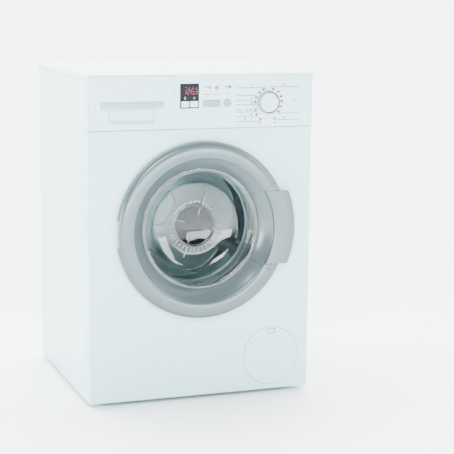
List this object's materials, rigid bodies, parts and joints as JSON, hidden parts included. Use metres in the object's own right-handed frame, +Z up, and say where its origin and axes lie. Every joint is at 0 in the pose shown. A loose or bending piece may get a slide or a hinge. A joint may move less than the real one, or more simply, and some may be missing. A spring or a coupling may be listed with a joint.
{
  "type": "front load washing machine",
  "caption": "Front load washing machine with a round hinged door, detergent drawer, control dial and display, service flap, and a sprung tub holding a belt-driven drum.",
  "frame": {"origin": "centre of the footprint on the floor", "axes": "+Z up, -Y out of the door, +X to the right seen from the front"},
  "size_m": [0.598, 0.59, 0.848],
  "materials": {
    "white_steel": "satin enamel",
    "white_plastic": "satin moulded",
    "silver_plastic": "satin silver",
    "grey_plastic": "matte",
    "dark_plastic": "matte",
    "display_glass": "smoked, glossy",
    "clear_glass": "clear",
    "stainless": "brushed",
    "bearing_steel": "ground",
    "zinc": "galvanised",
    "cast": "as cast",
    "grey_rubber": "moulded",
    "black_rubber": "moulded",
    "concrete": "cast, rough",
    "board": "varnished board"
  },
  "bodies": {
    "cabinet": {"base_tray": "zinc", "cabinet_wrap": "white_steel", "rear_cover": "zinc", "top_cover": "white_plastic", "front_panel": "white_steel", "door_lock": "dark_plastic", "door_gasket": "grey_rubber", "control_fascia": "white_plastic", "display_window": "display_glass", "control_board": "board", "dispenser_housing": "white_plastic", "inlet_valve": "white_plastic", "power_inlet": "dark_plastic", "sump_hose": "black_rubber", "drain_hose": "black_rubber", "dispenser_hose": "black_rubber", "damper_cylinder_left": "dark_plastic", "damper_cylinder_right": "dark_plastic", "suspension_spring_left": "zinc", "suspension_spring_right": "zinc", "hinge_plate": "zinc", "hinge_pin": "stainless", "pump_housing": "white_plastic"},
    "foot_front_left": {"foot_front_left": "dark_plastic"},
    "foot_front_right": {"foot_front_right": "dark_plastic"},
    "foot_rear_left": {"foot_rear_left": "dark_plastic"},
    "foot_rear_right": {"foot_rear_right": "dark_plastic"},
    "plug": {"filter_plug": "grey_plastic"},
    "flap": {"service_flap": "white_plastic"},
    "drawer": {"drawer_front": "white_plastic", "drawer_tray": "white_plastic", "siphon_cover": "silver_plastic"},
    "knob": {"program_knob": "white_plastic"},
    "button_display_left": {"display_button_left": "white_plastic"},
    "button_display_right": {"display_button_right": "white_plastic"},
    "button_option": {"option_button": "white_plastic"},
    "button_start": {"start_button": "white_plastic"},
    "door": {"door_ring": "silver_plastic", "handle_surround": "silver_plastic", "door_back_ring": "grey_plastic", "door_glass": "clear_glass", "hinge_leaf": "zinc"},
    "handle": {"door_handle": "silver_plastic"},
    "hook": {"latch_hook": "zinc"},
    "tub": {"tub_front": "grey_plastic", "tub_rear": "grey_plastic", "counterweight_top": "concrete", "heater": "stainless", "motor": "cast", "drive_belt": "black_rubber", "bearing_cartridge": "bearing_steel", "damper_rod_left": "stainless", "damper_rod_right": "stainless"},
    "motor_drive": {"motor_pulley": "zinc"},
    "drum": {"drum_shell": "stainless", "drum_spider": "cast", "drum_pulley": "cast", "drum_lifter_1": "stainless", "drum_lifter_2": "stainless", "drum_lifter_3": "stainless"}
  },
  "joints": [
    {"name": "door_hinge", "type": "hinge", "parent": "cabinet", "child": "door", "pos_m": [-0.221, -0.281, 0.451], "axis": [0, 0, -1], "range_deg": [0, 140]},
    {"name": "handle_pull", "type": "hinge", "parent": "door", "child": "handle", "pos_m": [0.194, -0.276, 0.451], "axis": [0, 0, -1], "range_deg": [0, 7], "stiffness_Nm_per_rad": 1.5, "springref_deg": -5.73},
    {"name": "hook_turn", "type": "hinge", "parent": "door", "child": "hook", "pos_m": [0.205, -0.2755, 0.451], "axis": [0, 0, -1], "range_deg": [0, 8]},
    {"name": "drawer_slide", "type": "slide", "parent": "cabinet", "child": "drawer", "axis": [0, -1, 0], "range_m": [0, 0.19]},
    {"name": "knob_turn", "type": "hinge", "parent": "cabinet", "child": "knob", "pos_m": [0.175, -0.267, 0.774], "axis": [0, -1, 0], "continuous": true},
    {"name": "press_display_left", "type": "slide", "parent": "cabinet", "child": "button_display_left", "axis": [0, 1, 0], "range_m": [0, 0.0015], "stiffness_N_per_m": 600, "springref_m": -0.002},
    {"name": "press_display_right", "type": "slide", "parent": "cabinet", "child": "button_display_right", "axis": [0, 1, 0], "range_m": [0, 0.0015], "stiffness_N_per_m": 600, "springref_m": -0.002},
    {"name": "press_option", "type": "slide", "parent": "cabinet", "child": "button_option", "axis": [0, 1, 0], "range_m": [0, 0.0015], "stiffness_N_per_m": 600, "springref_m": -0.002},
    {"name": "press_start", "type": "slide", "parent": "cabinet", "child": "button_start", "axis": [0, 1, 0], "range_m": [0, 0.0015], "stiffness_N_per_m": 600, "springref_m": -0.002},
    {"name": "flap_hinge", "type": "hinge", "parent": "cabinet", "child": "flap", "pos_m": [0.194, -0.267, 0.035], "axis": [1, 0, 0], "range_deg": [0, 92]},
    {"name": "plug_turn", "type": "hinge", "parent": "cabinet", "child": "plug", "pos_m": [0.194, -0.267, 0.103], "axis": [0, -1, 0], "range_deg": [0, 360]},
    {"name": "foot_front_left_screw", "type": "slide", "parent": "cabinet", "child": "foot_front_left", "axis": [0, 0, -1], "range_m": [0, 0.012]},
    {"name": "foot_front_right_screw", "type": "slide", "parent": "cabinet", "child": "foot_front_right", "axis": [0, 0, -1], "range_m": [0, 0.012]},
    {"name": "foot_rear_left_screw", "type": "slide", "parent": "cabinet", "child": "foot_rear_left", "axis": [0, 0, -1], "range_m": [0, 0.012]},
    {"name": "foot_rear_right_screw", "type": "slide", "parent": "cabinet", "child": "foot_rear_right", "axis": [0, 0, -1], "range_m": [0, 0.012]},
    {"name": "tub_sway", "type": "slide", "parent": "cabinet", "child": "tub", "axis": [0, 0, 1], "range_m": [-0.008, 0.008], "stiffness_N_per_m": 40000, "springref_m": 0.012, "deforming": ["door_gasket", "sump_hose", "dispenser_hose", "suspension_spring_left", "suspension_spring_right"]},
    {"name": "drum_spin", "type": "hinge", "parent": "tub", "child": "drum", "pos_m": [0, -0.267, 0.451], "axis": [0, 1, 0], "continuous": true},
    {"name": "motor_spin", "type": "hinge", "parent": "tub", "child": "motor_drive", "pos_m": [0.07, -0.267, 0.117], "axis": [0, 1, 0], "continuous": true}
  ],
  "couplings": [
    {"joint": "hook_turn", "follows": "handle_pull", "ratio": 1.1},
    {"joint": "motor_spin", "follows": "drum_spin", "ratio": 11.667}
  ]
}
